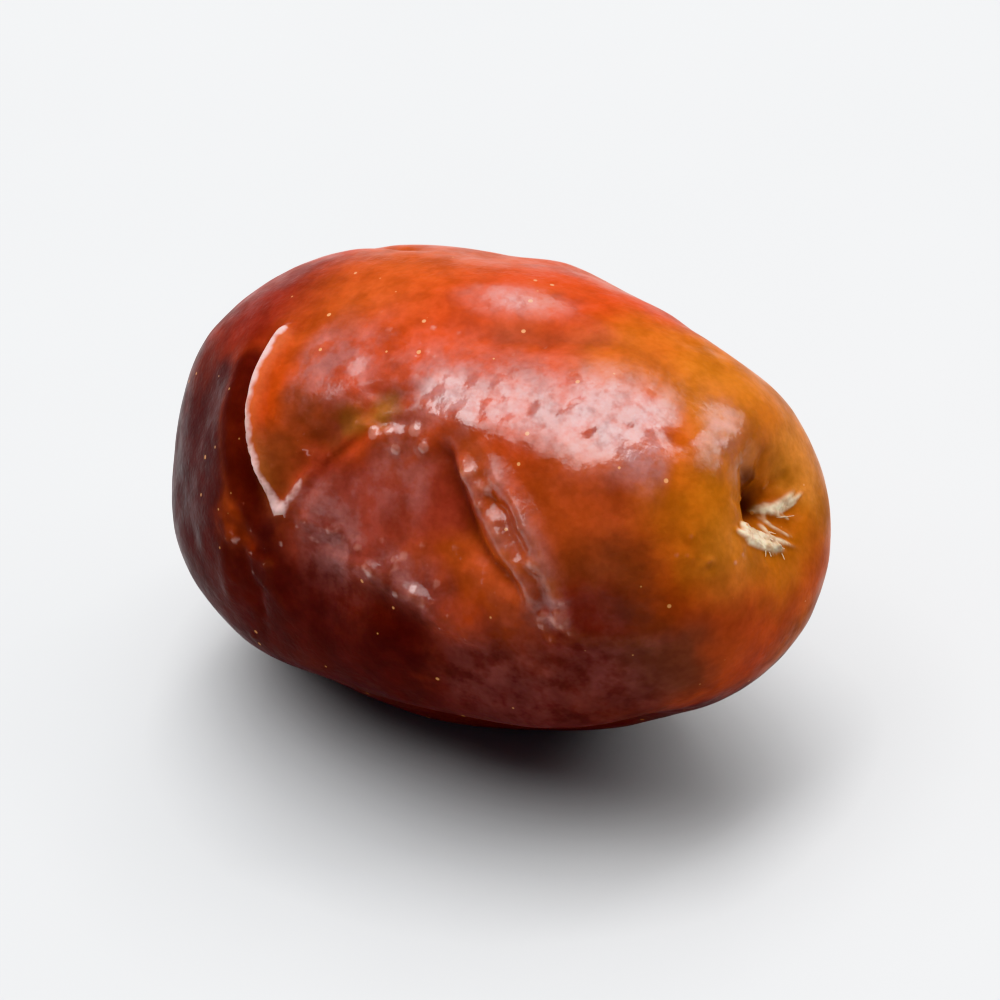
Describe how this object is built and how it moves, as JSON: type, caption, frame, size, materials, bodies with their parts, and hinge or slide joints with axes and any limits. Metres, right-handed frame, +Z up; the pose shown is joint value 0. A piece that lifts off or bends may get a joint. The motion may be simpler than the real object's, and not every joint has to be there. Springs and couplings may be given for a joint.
{
  "type": "oleaster fruit",
  "caption": "Dried oval fruit with glossy, wrinkled skin, a sunken blossom end, a star-shaped stalk scar and a small flat spot it rests on.",
  "frame": {"origin": "centre of the fruit's outline seen from above, at the height of the small flat spot it rests on", "axes": "+X along the fruit's length towards the blossom end, which is raised 11 degrees; +Z up; -Y towards the side with the large dent"},
  "size_m": [0.0258, 0.0176, 0.0179],
  "materials": {
    "fruit_skin": "dried glossy fruit skin, orange to deep red with small pale scales"
  },
  "bodies": {
    "root": {"oleaster_fruit": "fruit_skin"}
  },
  "joints": []
}
